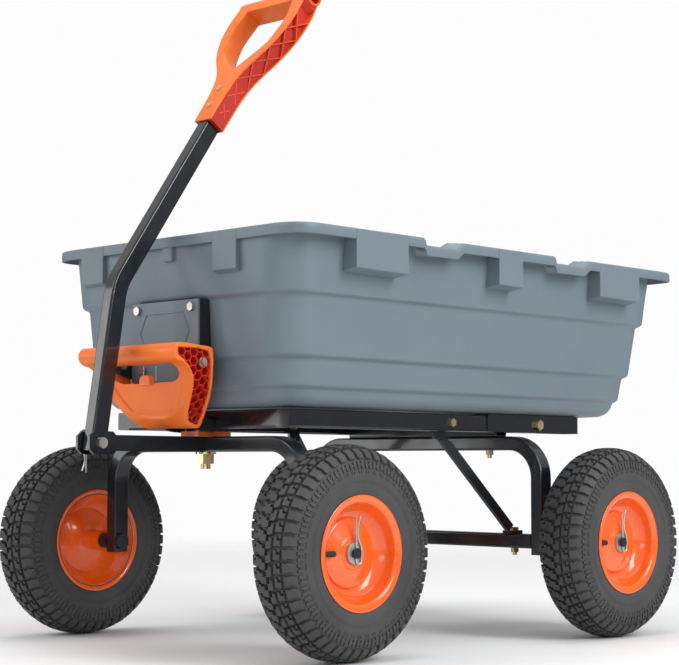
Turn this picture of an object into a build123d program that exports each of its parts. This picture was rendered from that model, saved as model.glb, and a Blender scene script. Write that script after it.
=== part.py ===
"""Four-wheeled dump cart: steel frame, tipping poly tub, steering front axle and pull handle.

Units are millimetres, +Z is up, the handle end faces -Y and the cart's left side is +X.
Distances along the cart are written from the front axle line, which lies at y = FRONT.
"""
import math
import os

from build123d import *

os.makedirs("parts", exist_ok=True)

# ---- driving sizes -------------------------------------------------------
FRONT = -345.0            # y of the front axle line
KING = FRONT + 4.0        # y of the king bolt and the front beam
REAR = FRONT + 633.0      # y of the rear axle line
AXLE_Z = 165.0            # axle height, which is the tyre radius
TYRE_R = 165.0
TYRE_HALF_W = 45.0
RIM_R = 88.4              # outside radius of the rim flange
RIM_HALF_W = 38.0
FRONT_HALF_TRACK = 320.0
REAR_HALF_TRACK = 361.0
AXLE_R = 8.0
VALVE_X = 20.5           # valve stem, outboard of the wheel centre
RUN = 0.05                # radial running clearance
GAP = 0.3                 # gap between faces of pieces that move apart

TUBE_T = 25.0             # frame tube, narrow side
TUBE_D = 30.0             # frame tube, wide side
WALL = 2.0
TUBE_CORNER = 3.5         # outside corner radius of the frame tubes
RAIL_X = 212.5            # outside face of the front rails
RAIL_Z = 356.5            # underside of the rails
RAIL_H = 30.0
HINGE_Y = FRONT + 619.0   # tub tilt axis
HINGE_Z = 371.5
HINGE_R = 5.0
CHANNEL_FRONT = FRONT + 476.0   # steel channels under the tub, which straddle the rails
CHANNEL_REAR = FRONT + 740.0
CHANNEL_T = 2.0

BEAM_Z = 331.0            # centre height of the front beam
FRONT_LEG_X = 230.0
REAR_BEAM_Z = 337.5
REAR_LEG_X = 272.2
REAR_LEG_Y = FRONT + 552.7

RIM_X = 310.0             # tub lip, outside
RIM_Z = 668.0
RIM_H = 17.5
TUB_FRONT = FRONT - 87.0
TUB_REAR = FRONT + 940.0
TUB_WALL = 3.0
FLOOR_Z = 388.8

PIN_Y = FRONT - 227.0     # pull handle pivot
PIN_Z = 331.0
BEND_Y = FRONT - 188.4
BEND_Z = 582.4
UPPER_LEAN = 34.5         # degrees from upright, above the bend
COLLAR_Z = 863.0          # lower end of the grip collar

LATCH_Y = FRONT - 106.0   # latch pivot
LATCH_Z = 458.0
LATCH_HALF_W = 121.0
BAR_Y = FRONT - 156.5
BAR_Z = 473.0
BAR_R = 12.2


# ---- helpers -------------------------------------------------------------
def block(x0, x1, y0, y1, z0, z1):
    """Box between two corners."""
    centre = Pos((x0 + x1) / 2, (y0 + y1) / 2, (z0 + z1) / 2)
    return centre * Box(abs(x1 - x0), abs(y1 - y0), abs(z1 - z0))


def rod(a, b, r):
    """Round bar from point a to point b."""
    a = Vector(*a)
    b = Vector(*b)
    d = b - a
    return extrude(Plane(origin=a, z_dir=d) * Circle(r), d.length)


def hexagon(a, b, across):
    """Hexagon bar from a to b, given its size across flats."""
    a = Vector(*a)
    b = Vector(*b)
    d = b - a
    return extrude(Plane(origin=a, z_dir=d) * RegularPolygon(across / math.sqrt(3), 6), d.length)


def yz_prism(points, x0, x1):
    """Extrude a closed outline given in (y, z) from x0 to x1."""
    face = Plane(origin=(x0, 0, 0), x_dir=(0, 1, 0), z_dir=(1, 0, 0)) * make_face(Polyline(*points, close=True))
    return extrude(face, x1 - x0)


def xz_prism(points, y0, y1):
    """Extrude a closed outline given in (x, z) from y0 to y1."""
    face = Plane(origin=(0, y1, 0), x_dir=(1, 0, 0), z_dir=(0, -1, 0)) * make_face(Polyline(*points, close=True))
    return extrude(face, y1 - y0)


def rounded_bar(axis, x0, x1, y0, y1, z0, z1, radius):
    """Box with its four edges along one axis rounded."""
    bar = block(x0, x1, y0, y1, z0, z1)
    return fillet(bar.edges().filter_by(axis), radius)


def box_tube_x(x0, x1, y0, y1, z0, z1):
    """Open rectangular tube along X."""
    outer = rounded_bar(Axis.X, x0, x1, y0, y1, z0, z1, TUBE_CORNER)
    inner = rounded_bar(Axis.X, x0 - 1, x1 + 1, y0 + WALL, y1 - WALL, z0 + WALL, z1 - WALL, TUBE_CORNER - WALL)
    return outer - inner


def box_tube_y(x0, x1, y0, y1, z0, z1, closed_front=False, closed_rear=False):
    """Rectangular tube along Y with optional closed ends."""
    body = rounded_bar(Axis.Y, x0, x1, y0, y1, z0, z1, TUBE_CORNER)
    a = y0 + WALL if closed_front else y0 - 1
    b = y1 - WALL if closed_rear else y1 + 1
    return body - rounded_bar(Axis.Y, x0 + WALL, x1 - WALL, a, b, z0 + WALL, z1 - WALL, TUBE_CORNER - WALL)


def sweep_tube(path, x_dir, width, depth, wall):
    """Hollow rectangular tube along a path; width runs along x_dir."""
    start = Plane(origin=path @ 0, x_dir=x_dir, z_dir=path % 0)
    outer = sweep(start * RectangleRounded(width, depth, TUBE_CORNER), path=path)
    inner = sweep(start * RectangleRounded(width - 2 * wall, depth - 2 * wall, TUBE_CORNER - wall), path=path)
    return outer - inner


def sweep_wire(path, r):
    """Round wire along a path."""
    start = Plane(origin=path @ 0, z_dir=path % 0)
    return sweep(start * Circle(r), path=path)


def mirror_x(shape):
    return mirror(shape, about=Plane.YZ)


def save(name, shape):
    shape.label = name
    export_step(shape, "parts/" + name + ".step")


# ---- wheels --------------------------------------------------------------
def wheel_revolve(points):
    """Revolve a closed outline of (x, radius) points about the wheel axis."""
    face = make_face(Polyline(*[(x, r, 0) for x, r in points], close=True))
    return revolve(face, axis=Axis.X)


def make_tyre():
    outer = [(-28, 78), (-37.4, 78), (-38, 84), (-39.1, 88.7), (-41.5, 91), (-45, 108), (-45, 124), (-43, 140),
             (-38, 153), (-28, 161), (-14, 164.4), (0, 165), (14, 164.4), (28, 161), (38, 153),
             (43, 140), (45, 124), (45, 108), (41.5, 91), (39.1, 88.7), (38, 84), (37.4, 78), (28, 78)]
    inner = [(28, 86), (33, 94), (37, 110), (37, 124), (35, 138), (29, 148), (14, 155), (0, 156.5),
             (-14, 155), (-29, 148), (-35, 138), (-37, 124), (-37, 110), (-33, 94), (-28, 86)]
    return wheel_revolve(outer + inner)


def make_rim(side):
    """Pressed steel rim; side is +1 when the outboard face looks along +X."""
    half = [(0, 70), (13, 71), (20, 78), (37.6, 78), (38.2, 84), (39.4, 88.4), (41.4, 88.4),
            (40.2, 83), (39.6, 75.6), (24, 75), (14, 66), (9.5, 56), (9.5, 52), (14, 40), (20.5, 26),
            (21, 17)]
    back = [(18.6, 17), (18, 26), (12, 38.6), (7, 51), (5, 56), (7, 62), (0, 64)]
    outer = wheel_revolve(half + back)
    lip = [(0, 70), (-13, 71), (-20, 78), (-37.6, 78), (-38.2, 84), (-39.4, 88.4), (-41.4, 88.4),
           (-40.2, 83), (-39.6, 75.6), (-24, 75), (-14, 66), (0, 64)]
    rim = outer + wheel_revolve(lip)
    inner_disc = [(-14, 67), (-9.5, 56), (-9.5, 52), (-20.5, 26), (-21, 17), (-18.6, 17), (-18, 26),
                  (-7, 51), (-7, 56), (-10, 67)]
    rim = rim + wheel_revolve(inner_disc)
    stem_hole = rod((VALVE_X, -60, 0), (VALVE_X, -79.5, 0), 5.0)
    rim = rim - stem_hole
    if side < 0:
        rim = mirror_x(rim)
    return rim


def make_hub(side):
    tube = rod((-58, 0, 0), (22, 0, 0), 17.0) - rod((-59, 0, 0), (23, 0, 0), AXLE_R + RUN)
    if side < 0:
        tube = mirror_x(tube)
    return tube


def make_valve(side):
    """Rubber valve stem that leaves the rim well towards the hub."""
    stem = rod((VALVE_X, -79, 0), (VALVE_X, -50, 0), 4.0) + rod((VALVE_X, -80.5, 0), (VALVE_X, -71.5, 0), 5.0)
    stem = stem + rod((VALVE_X, -50, 0), (VALVE_X, -40, 0), 4.4)
    if side < 0:
        stem = mirror_x(stem)
    return stem


def make_hairpin(side):
    """Spring clip: straight leg through the axle hole, wavy leg outside it, loop at the lower end."""
    leg = Line((0, -11), (0, 52))
    arc = ThreePointArc((0, -11), (5.5, -16.5), (11, -11))
    wave = Spline((11, -11), (11.6, 0), (10.4, 10), (5, 22), (4, 36), (9, 56), tangents=[(0, 1), (0.4, 1)])
    wire = Plane(origin=(27.8, 0, 0), x_dir=(0, 1, 0), z_dir=(1, 0, 0)) * Wire([leg.edge(), arc.edge(), wave.edge()])
    path = wire
    clip = sweep_wire(path, 1.5)
    if side < 0:
        clip = mirror_x(clip)
    return clip


def make_washer(side):
    ring = rod((22.3, 0, 0), (26.3, 0, 0), 17.0) - rod((22, 0, 0), (27, 0, 0), AXLE_R)
    if side < 0:
        ring = mirror_x(ring)
    return ring


TYRE = make_tyre()
WHEELS = {
    "fl": (1, FRONT_HALF_TRACK, FRONT),
    "fr": (-1, FRONT_HALF_TRACK, FRONT),
    "rl": (1, REAR_HALF_TRACK, REAR),
    "rr": (-1, REAR_HALF_TRACK, REAR),
}
for key, (side, half_track, wheel_y) in WHEELS.items():
    place = Pos(side * half_track, wheel_y, AXLE_Z)
    save("tyre_" + key, place * TYRE)
    save("rim_" + key, place * make_rim(side))
    save("hub_" + key, place * make_hub(side))
    save("valve_" + key, place * make_valve(side))
    save("axle_washer_" + key, place * make_washer(side))
    save("axle_hairpin_" + key, place * make_hairpin(side))


def stub_axle(inner, outer_face, half_track, y):
    """Left-hand stub axle: rod welded through the leg, with a shoulder the hub runs against."""
    tip = half_track + 31
    shaft = rod((inner, y, AXLE_Z), (tip, y, AXLE_Z), AXLE_R)
    shaft = shaft + rod((outer_face, y, AXLE_Z), (half_track - 58 - GAP, y, AXLE_Z), 13.0)
    cross = rod((half_track + 27.8, y, AXLE_Z - 20), (half_track + 27.8, y, AXLE_Z + 20), 1.5)
    nut = hexagon((inner, y, AXLE_Z), (inner + 9, y, AXLE_Z), 24)
    return shaft + nut - cross


# ---- front axle ----------------------------------------------------------
def u_frame(leg_x, y, beam_z, foot_z):
    path = FilletPolyline((-leg_x, y, foot_z), (-leg_x, y, beam_z), (leg_x, y, beam_z), (leg_x, y, foot_z),
                          radius=62)
    return sweep_tube(path, (0, 1, 0), TUBE_D, TUBE_T, WALL)


front_face = KING - TUBE_D / 2
beam_low = BEAM_Z - TUBE_T / 2
beam_top = BEAM_Z + TUBE_T / 2
front_u = u_frame(FRONT_LEG_X, KING, BEAM_Z, 146)
sleeve = rod((0, KING, beam_low), (0, KING, beam_top), 12.5)
front_u = front_u + sleeve - rod((0, KING, 300), (0, KING, 350), 8 + RUN)
axle_hole = rod((-260, FRONT, AXLE_Z), (260, FRONT, AXLE_Z), AXLE_R)
front_u = front_u - axle_hole
save("front_u_frame", front_u)

tongue_front = FRONT - 206.0
tongue = block(-12.5, 12.5, tongue_front, front_face, beam_low, beam_top)
tongue = tongue - block(-10.5, 10.5, tongue_front + 2, front_face + 1, beam_low + 2, beam_top - 2)
plate_outline = [(FRONT - 251, 341), (FRONT - 242, 349), (FRONT - 205, 349), (FRONT - 199, beam_top),
                 (FRONT - 160, beam_top), (FRONT - 160, beam_low), (FRONT - 199, beam_low),
                 (FRONT - 205, 313), (FRONT - 242, 313), (FRONT - 251, 321)]
plate = yz_prism(plate_outline, 12.5, 17.5)
tongue = tongue + plate + mirror_x(plate)
tongue = tongue + block(-12.5, 12.5, FRONT - 203.0, FRONT - 199.0, beam_top - 1, 346)
tongue = tongue + block(-12.5, 12.5, FRONT - 208.6, FRONT - 202.0, beam_top + 1, 349)
tongue = tongue - rod((-30, PIN_Y, PIN_Z), (30, PIN_Y, PIN_Z), 5.0)
save("tongue", tongue)

puck = block(-21.5, 21.5, KING - 36, KING + 36, beam_top, 352.0) - rod((0, KING, 340), (0, KING, 356), 8 + RUN)
save("bearing_pad", puck)

left_stub = stub_axle(208.5, FRONT_LEG_X + TUBE_T / 2, FRONT_HALF_TRACK, FRONT)
save("front_stub_axle_l", left_stub)
save("front_stub_axle_r", mirror_x(left_stub))

pin = rod((-25, PIN_Y, PIN_Z), (17.5, PIN_Y, PIN_Z), 5.0) + rod((17.5, PIN_Y, PIN_Z), (21.5, PIN_Y, PIN_Z), 8.5)
pin = pin - rod((-21.5, PIN_Y, PIN_Z - 12), (-21.5, PIN_Y, PIN_Z + 12), 1.3)
save("handle_pin", pin)

clip_leg = Line((0, 14), (0, -46))
clip_arc = ThreePointArc((0, 14), (6, 20), (12, 14))
clip_wave = Spline((12, 14), (9, 6), (9, -4), (4, -18), (3, -30), (8, -44), tangents=[(0, -1), (0.4, -1)])
clip_wire = Plane(origin=(-21.5, PIN_Y, PIN_Z), x_dir=(0, -1, 0), z_dir=(-1, 0, 0))
clip_path = clip_wire * Wire([clip_leg.edge(), clip_arc.edge(), clip_wave.edge()])
save("handle_hairpin", sweep_wire(clip_path, 1.3))

# ---- pull handle ---------------------------------------------------------
lean = math.radians(UPPER_LEAN)
lower_dir = Vector(0, BEND_Y - PIN_Y, BEND_Z - PIN_Z).normalized()
upper_dir = Vector(0, math.sin(lean), math.cos(lean))
foot = Vector(0, PIN_Y, PIN_Z) - lower_dir * 14
collar = Vector(0, BEND_Y, BEND_Z) + upper_dir * ((COLLAR_Z - BEND_Z) / math.cos(lean))
handle_top = collar + upper_dir * 88
handle_path = FilletPolyline(foot, (0, BEND_Y, BEND_Z), handle_top, radius=85)
HANDLE_W = 24.4
handle = sweep_tube(handle_path, (1, 0, 0), HANDLE_W, TUBE_D, WALL)
pivot_tube = rod((-HANDLE_W / 2, PIN_Y, PIN_Z), (HANDLE_W / 2, PIN_Y, PIN_Z), 8.0)
handle = handle + pivot_tube - rod((-20, PIN_Y, PIN_Z), (20, PIN_Y, PIN_Z), 5.0 + RUN)

grip_normal = Vector(0, -math.cos(lean), math.sin(lean))
grip_plane = Plane(origin=collar, x_dir=(1, 0, 0), z_dir=grip_normal)


def on_grip(x, s, n):
    """Point at lateral x, distance s along the grip and height n above its middle plane."""
    return collar + Vector(x, 0, 0) + upper_dir * s + grip_normal * n


outline = [(20, 0), (20, 55), (26, 92), (46, 124), (70, 158), (84, 192), (88, 226), (86, 262), (80, 300)]
outline = outline + [(-x, s) for x, s in reversed(outline)]
hole = [(0, 120), (26, 138), (56, 172), (66, 204), (64, 246), (60, 276)]
hole = hole + [(-x, s) for x, s in reversed(hole[1:])]
BAR_S = 289.0
grip = extrude(grip_plane * make_face(Polyline(*outline, close=True)), 16, both=True)
grip = grip - extrude(grip_plane * make_face(Polyline(*hole, close=True)), 30, both=True)
grip = grip - extrude(grip_plane * Pos(0, 299, 0) * Rectangle(200, 20), 30, both=True)
grip = grip + rod(on_grip(-84, BAR_S, 0), on_grip(84, BAR_S, 0), 16.0)
grip = grip - rod(on_grip(-90, BAR_S, 0), on_grip(90, BAR_S, 0), 12.0)
web_l = rod(on_grip(-14, BAR_S, 0), on_grip(14, BAR_S, 0), 12.0)
grip = grip + web_l
for sgn in (1, -1):
    side_pocket = [(sgn * 74, 170), (sgn * 96, 170), (sgn * 96, 262), (sgn * 76, 262)]
    cut = extrude(grip_plane * make_face(Polyline(*side_pocket, close=True)), 12, both=True)
    grip = grip - cut
socket = extrude(grip_plane * Pos(0, 40, 0) * Rectangle(HANDLE_W, 96), TUBE_D / 2, both=True)
grip = grip - socket
screw_s = (35, 74)
screws = None
for s in screw_s:
    bore = rod(on_grip(-4, s, -20), on_grip(-4, s, 20), 2.5)
    grip = grip - bore
    handle = handle - bore
    bolt = rod(on_grip(-4, s, -19), on_grip(-4, s, 16), 2.5) + rod(on_grip(-4, s, 16), on_grip(-4, s, 20), 5.5)
    bolt = bolt + hexagon(on_grip(-4, s, -20), on_grip(-4, s, -16), 8)
    screws = bolt if screws is None else screws + bolt
save("pull_handle", handle)
save("d_grip", grip)
save("grip_screws", screws)

# ---- chassis -------------------------------------------------------------
rail_top = RAIL_Z + RAIL_H
rail_in = RAIL_X - 30


brace_bolt_y = FRONT + 380
bolt_z = 371.5
m8_front = rod((150, brace_bolt_y, bolt_z), (230, brace_bolt_y, bolt_z), 4.0)
pivot_hole = rod((150, HINGE_Y, HINGE_Z), (230, HINGE_Y, HINGE_Z), HINGE_R)
rail = box_tube_y(rail_in, RAIL_X, FRONT - 11, HINGE_Y + 15, RAIL_Z, rail_top, closed_front=True)
rail_shape = block(rail_in, RAIL_X, FRONT - 11, HINGE_Y, RAIL_Z, rail_top)
rail_shape = rail_shape + rod((rail_in, HINGE_Y, HINGE_Z), (RAIL_X, HINGE_Y, HINGE_Z), 15.0)
rail = (rail & rail_shape) - m8_front - pivot_hole
save("rail_l", rail)
save("rail_r", mirror_x(rail))

cross = box_tube_x(-rail_in, rail_in, FRONT - 11, FRONT + 19, RAIL_Z, rail_top)
cross = cross - rod((0, KING, 350), (0, KING, 359), 8.0)
king_plate = block(-24.5, 24.5, KING - 22, KING + 27, 352.3, RAIL_Z) - rod((0, KING, 350), (0, KING, 360), 8.0)
save("front_cross_tube", cross + king_plate)
king_bolt = rod((0, KING, 290.5), (0, KING, RAIL_Z + 2), 8.0) + hexagon((0, KING, RAIL_Z + 2), (0, KING, 368), 24)
save("king_bolt", king_bolt)
king_nut = rod((0, KING, 315), (0, KING, 318.2), 17.0) + hexagon((0, KING, 299), (0, KING, 315), 24)
king_nut = king_nut - rod((0, KING, 290), (0, KING, 320), 8.0)
save("king_nut", king_nut)

rear_inner = rail_in
rear_cross = box_tube_x(-rear_inner, rear_inner, REAR_LEG_Y - 15, REAR_LEG_Y + 15, 350, 380)
rear_u = u_frame(REAR_LEG_X, REAR_LEG_Y, REAR_BEAM_Z, 141)
leg_in = REAR_LEG_X - TUBE_T / 2
leg_out = REAR_LEG_X + TUBE_T / 2
arm = box_tube_y(leg_in, leg_out, REAR_LEG_Y + 15, REAR + 15, AXLE_Z - 15, AXLE_Z + 15, closed_rear=True)
rear_u = rear_u + arm + mirror_x(arm)
rear_u = rear_u - rod((-300, REAR, AXLE_Z), (300, REAR, AXLE_Z), AXLE_R)
lower = box_tube_x(-leg_in, leg_in, REAR_LEG_Y - 15, REAR_LEG_Y + 15, 152, 177)
foot_x = 213.0
pivot_head = RAIL_X + GAP + CHANNEL_T + GAP
pivot_nut = rail_in - GAP - CHANNEL_T - GAP
bolts = None
for sgn in (1, -1):
    bx = 156.0 * sgn
    beam_hole = rod((bx, REAR_LEG_Y, 320), (bx, REAR_LEG_Y, 384), 4.0)
    rear_cross = rear_cross - beam_hole
    rear_u = rear_u - beam_hole
    fx = foot_x * sgn
    foot_hole = rod((fx, REAR_LEG_Y, 140), (fx, REAR_LEG_Y, 190), 4.0)
    lower = lower - foot_hole
    pieces = [
        rod((bx, REAR_LEG_Y, 311), (bx, REAR_LEG_Y, 380), 4.0),
        hexagon((bx, REAR_LEG_Y, 380), (bx, REAR_LEG_Y, 385.3), 13),
        hexagon((bx, REAR_LEG_Y, 317), (bx, REAR_LEG_Y, 325), 13),
        rod((fx, REAR_LEG_Y, 139), (fx, REAR_LEG_Y, 183), 4.0),
        hexagon((fx, REAR_LEG_Y, 183), (fx, REAR_LEG_Y, 188.5), 13),
        hexagon((fx, REAR_LEG_Y, 144), (fx, REAR_LEG_Y, 152), 13),
        rod((sgn * 166, brace_bolt_y, bolt_z), (sgn * RAIL_X, brace_bolt_y, bolt_z), 4.0),
        hexagon((sgn * RAIL_X, brace_bolt_y, bolt_z), (sgn * (RAIL_X + 5.5), brace_bolt_y, bolt_z), 13),
        hexagon((sgn * 168, brace_bolt_y, bolt_z), (sgn * 176.5, brace_bolt_y, bolt_z), 13),
        rod((sgn * 166, HINGE_Y, HINGE_Z), (sgn * pivot_head, HINGE_Y, HINGE_Z), HINGE_R),
        hexagon((sgn * pivot_head, HINGE_Y, HINGE_Z), (sgn * (pivot_head + 6.4), HINGE_Y, HINGE_Z), 17),
        hexagon((sgn * 170, HINGE_Y, HINGE_Z), (sgn * pivot_nut, HINGE_Y, HINGE_Z), 17),
    ]
    for piece in pieces:
        bolts = piece if bolts is None else bolts + piece
save("rear_cross_tube", rear_cross)
save("rear_u_frame", rear_u)
save("rear_lower_tube", lower)
save("frame_bolts", bolts)
left_rear_stub = stub_axle(leg_in - 9, leg_out, REAR_HALF_TRACK, REAR)
save("rear_stub_axle_l", left_rear_stub)
save("rear_stub_axle_r", mirror_x(left_rear_stub))

# diagonal brace: flat tab at the rail, bar, flat tab on the lower tube
brace_top = Vector(rail_in - 3, brace_bolt_y + 6, 352)
brace_foot = Vector(foot_x, REAR_LEG_Y - 14, 186)
brace_dir = (brace_foot - brace_top).normalized()
side_dir = brace_dir.cross(Vector(1, 0, 0)).normalized()
bar_plane = Plane(origin=brace_top, x_dir=side_dir, z_dir=brace_dir)
brace = extrude(bar_plane * Rectangle(18, 7), (brace_foot - brace_top).length)
brace = brace + block(rail_in - 6, rail_in, brace_bolt_y - 10, brace_bolt_y + 16, 343, 383)
brace = brace + block(foot_x - 10, foot_x + 10, REAR_LEG_Y - 22, REAR_LEG_Y + 10, 177, 183)
brace = brace - block(foot_x - 30, foot_x + 30, REAR_LEG_Y - 60, REAR_LEG_Y + 30, 160, 177)
brace = brace - block(rail_in, rail_in + 30, brace_bolt_y - 40, brace_bolt_y + 60, 340, 400)
brace = brace - rod((foot_x, REAR_LEG_Y, 170), (foot_x, REAR_LEG_Y, 200), 4.0) - m8_front
brace = brace - hexagon((foot_x, REAR_LEG_Y, 183), (foot_x, REAR_LEG_Y, 200), 15)
save("brace_l", brace)
save("brace_r", mirror_x(brace))

# ---- tub -----------------------------------------------------------------
def tub_outline(half_x, front, rear, r):
    y0 = TUB_FRONT + front
    y1 = TUB_REAR - rear
    return Pos(0, (y0 + y1) / 2) * RectangleRounded(2 * half_x, y1 - y0, r)


# height, half width, front inset, rear inset, corner radius of the outside wall
LEVELS = [
    (650.0, 283.0, 8.0, 24.0, 62.0),
    (568.0, 273.0, 14.0, 34.0, 62.0),
    (561.0, 266.0, 20.0, 41.0, 60.0),
    (468.0, 257.0, 28.0, 58.0, 60.0),
    (461.0, 251.0, 34.0, 65.0, 58.0),
    (420.0, 247.0, 38.0, 76.0, 58.0),
    (413.0, 241.0, 44.0, 84.0, 56.0),
    (FLOOR_Z, 222.0, 66.0, 108.0, 50.0),
]


def wall_solid(inset, floor, top):
    rows = [(top, LEVELS[0][1], LEVELS[0][2], LEVELS[0][3], LEVELS[0][4])] + LEVELS[:-1]
    rows = rows + [(floor, LEVELS[-1][1], LEVELS[-1][2], LEVELS[-1][3], LEVELS[-1][4])]
    solid = None
    for upper, under in zip(rows[:-1], rows[1:]):
        a = Pos(0, 0, under[0]) * tub_outline(under[1] - inset, under[2] + inset, under[3] + inset, under[4] - inset)
        b = Pos(0, 0, upper[0]) * tub_outline(upper[1] - inset, upper[2] + inset, upper[3] + inset, upper[4] - inset)
        slab = loft([a.face(), b.face()], ruled=True)
        solid = slab if solid is None else solid + slab
    return solid


outside = wall_solid(0.0, FLOOR_Z, RIM_Z)
inside = wall_solid(TUB_WALL, FLOOR_Z + TUB_WALL, RIM_Z + 20)
lip_out = extrude(Pos(0, 0, RIM_Z - RIM_H) * tub_outline(RIM_X, 0, 0, 60.0), RIM_H)
lip_under = extrude(Pos(0, 0, RIM_Z - RIM_H - 1) * tub_outline(RIM_X - 3, 3, 3, 57.0), RIM_H - 2)
lip = lip_out - lip_under
lug_solid = None
side_lugs = ((40.0, 162.0), (393.0, 458.0), (684.0, 808.0))
for a, b in side_lugs:
    for sgn in (1, -1):
        lug = block(sgn * 268, sgn * (RIM_X - 1), FRONT + a, FRONT + b, 602, RIM_Z)
        lug_solid = lug if lug_solid is None else lug_solid + lug
for a, b, low in ((-225.0, -165.0, 603.0), (112.0, 169.0, 603.0), (-12.0, 12.0, 628.0)):
    lug_solid = lug_solid + block(a, b, TUB_FRONT + 1, TUB_FRONT + 22, low, RIM_Z)
for a, b in ((-225.0, -165.0), (112.0, 169.0)):
    lug_solid = lug_solid + block(a, b, TUB_REAR - 40, TUB_REAR - 1, 602, RIM_Z)
tub = outside + lip + lug_solid
tub = tub - inside
for a, b in side_lugs:
    for sgn in (1, -1):
        tub = tub - block(sgn * 288, sgn * (RIM_X - 5), FRONT + a + 5, FRONT + b - 5, 607, RIM_Z + 1)
for a, b in ((208.0, 295.0), (557.0, 648.0)):
    for sgn in (1, -1):
        notch = block(sgn * 286, sgn * (RIM_X + 4), FRONT + a, FRONT + b, RIM_Z - 3.5, RIM_Z + 5)
        tub = tub - notch
tub = tub - block(-RIM_X, RIM_X, TUB_FRONT - 10, TUB_REAR + 10, 300, FLOOR_Z)

# steel channels under the floor: they straddle the rails and turn on the pivot bolts
channel_top = rail_top + GAP
outer_x = RAIL_X + GAP
inner_x = rail_in - GAP
channel = block(inner_x - CHANNEL_T, outer_x + CHANNEL_T, CHANNEL_FRONT, CHANNEL_REAR, channel_top, FLOOR_Z)
channel = channel + block(outer_x, outer_x + CHANNEL_T, CHANNEL_FRONT, CHANNEL_REAR, RAIL_Z + 0.5, FLOOR_Z)
channel = channel + block(inner_x - CHANNEL_T, inner_x, HINGE_Y - 34, CHANNEL_REAR, RAIL_Z + 0.5, FLOOR_Z)
channel = channel + block(inner_x, outer_x, CHANNEL_REAR - CHANNEL_T, CHANNEL_REAR, RAIL_Z + 0.5, FLOOR_Z)
channel = channel - rod((150, HINGE_Y, HINGE_Z), (230, HINGE_Y, HINGE_Z), HINGE_R + RUN)
tub_bolts = None
channel_mid = (rail_in + RAIL_X) / 2
for bolt_y in (FRONT + 660, FRONT + 715):
    channel = channel - rod((channel_mid, bolt_y, 380), (channel_mid, bolt_y, 400), 3.0)
    for sgn in (1, -1):
        bx = sgn * channel_mid
        tub = tub - rod((bx, bolt_y, 380), (bx, bolt_y, 400), 3.0)
        tub = tub - rod((bx, bolt_y, FLOOR_Z + 1.2), (bx, bolt_y, 400), 6.0)
        bolt = rod((bx, bolt_y, 379), (bx, bolt_y, FLOOR_Z + 1.2), 3.0)
        bolt = bolt + rod((bx, bolt_y, FLOOR_Z + 1.2), (bx, bolt_y, FLOOR_Z + TUB_WALL), 6.0)
        bolt = bolt + hexagon((bx, bolt_y, 381), (bx, bolt_y, channel_top), 10)
        tub_bolts = bolt if tub_bolts is None else tub_bolts + bolt
save("tub_channel_l", channel)
save("tub_channel_r", mirror_x(channel))

# latch bracket: back plate with side flanges, and the cover plate in front of it
flange = yz_prism([(FRONT - 60, 430), (FRONT - 118, 446), (FRONT - 118, 470), (FRONT - 84, 486),
                   (FRONT - 84, 562), (FRONT - 66, 562)], 82, 85)
flange = flange - rod((60, LATCH_Y, LATCH_Z), (100, LATCH_Y, LATCH_Z), 5.0)
bracket = flange + mirror_x(flange) + block(-82, 82, FRONT - 84, FRONT - 81, 430, 562)
bracket = bracket - outside
cover = block(-82, 82, FRONT - 88, FRONT - 84, 432, 562)
plate_bolts = None
for px_, pz_ in ((-67, 550), (67, 550), (-52, 452), (52, 452)):
    hole = rod((px_, FRONT - 90, pz_), (px_, FRONT - 40, pz_), 4.0)
    bracket = bracket - hole
    cover = cover - hole
    tub = tub - hole
    bolt = rod((px_, FRONT - 88, pz_), (px_, FRONT - 50, pz_), 4.0)
    bolt = bolt + hexagon((px_, FRONT - 93, pz_), (px_, FRONT - 88, pz_), 13)
    plate_bolts = bolt if plate_bolts is None else plate_bolts + bolt
save("tub", tub)
save("latch_bracket", bracket)
save("latch_cover", cover)
save("tub_bolts", plate_bolts + tub_bolts)

# ---- latch ---------------------------------------------------------------
f = FRONT
side_shape = [(f - 160, 486), (f - 84 - 8, 482), (f - 84 - 4, 440), (f - 64, 392), (f - 60, 357), (f - 84, 356),
              (f - 104, 372), (f - 116, 396), (f - 124, 424), (f - 134, 446), (f - 150, 461), (f - 160, 462)]
front_shape = [(121, 490), (121, 452), (112, 424), (92, 396), (74, 372), (58, 355)]
front_shape = front_shape + [(-x, z) for x, z in reversed(front_shape)]
latch = yz_prism(side_shape, -LATCH_HALF_W, LATCH_HALF_W) & xz_prism(front_shape, f - 220, f - 20)
room_front = [(86, 500), (86, 420), (74, 392), (52, 362)]
room_front = room_front + [(-x, z) for x, z in reversed(room_front)]
room_side = [(f - 50, 500), (f - 50, 362), (f - 84, 362), (f - 99, 376), (f - 110, 398), (f - 118, 425),
             (f - 128, 450), (f - 128, 500)]
latch = latch - (yz_prism(room_side, -87, 87) & xz_prism(room_front, f - 220, f - 20))
opening = [(84, 459), (80, 436), (66, 428), (14, 428), (10, 434), (-10, 434), (-14, 428), (-66, 428), (-80, 436),
           (-84, 459)]
latch = latch - xz_prism(opening, f - 220, f - 20)
latch = latch - block(-86, 86, f - 143, f - 40, 459, 500)
latch = latch + rod((-LATCH_HALF_W, BAR_Y, BAR_Z), (LATCH_HALF_W, BAR_Y, BAR_Z), BAR_R)
for sgn in (1, -1):
    pocket = [(f - 148, 480), (f - 98, 478), (f - 94, 444), (f - 78, 410), (f - 98, 410), (f - 112, 432),
              (f - 122, 452), (f - 146, 466)]
    latch = latch - yz_prism(pocket, sgn * 91 if sgn > 0 else -125, 125 if sgn > 0 else -91)
pin_hole = rod((-130, LATCH_Y, LATCH_Z), (130, LATCH_Y, LATCH_Z), 5.0 + RUN)
boss = rod((86, LATCH_Y, LATCH_Z), (112, LATCH_Y, LATCH_Z), 9.5)
latch = latch + boss + mirror_x(boss)
latch = latch - pin_hole
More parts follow.
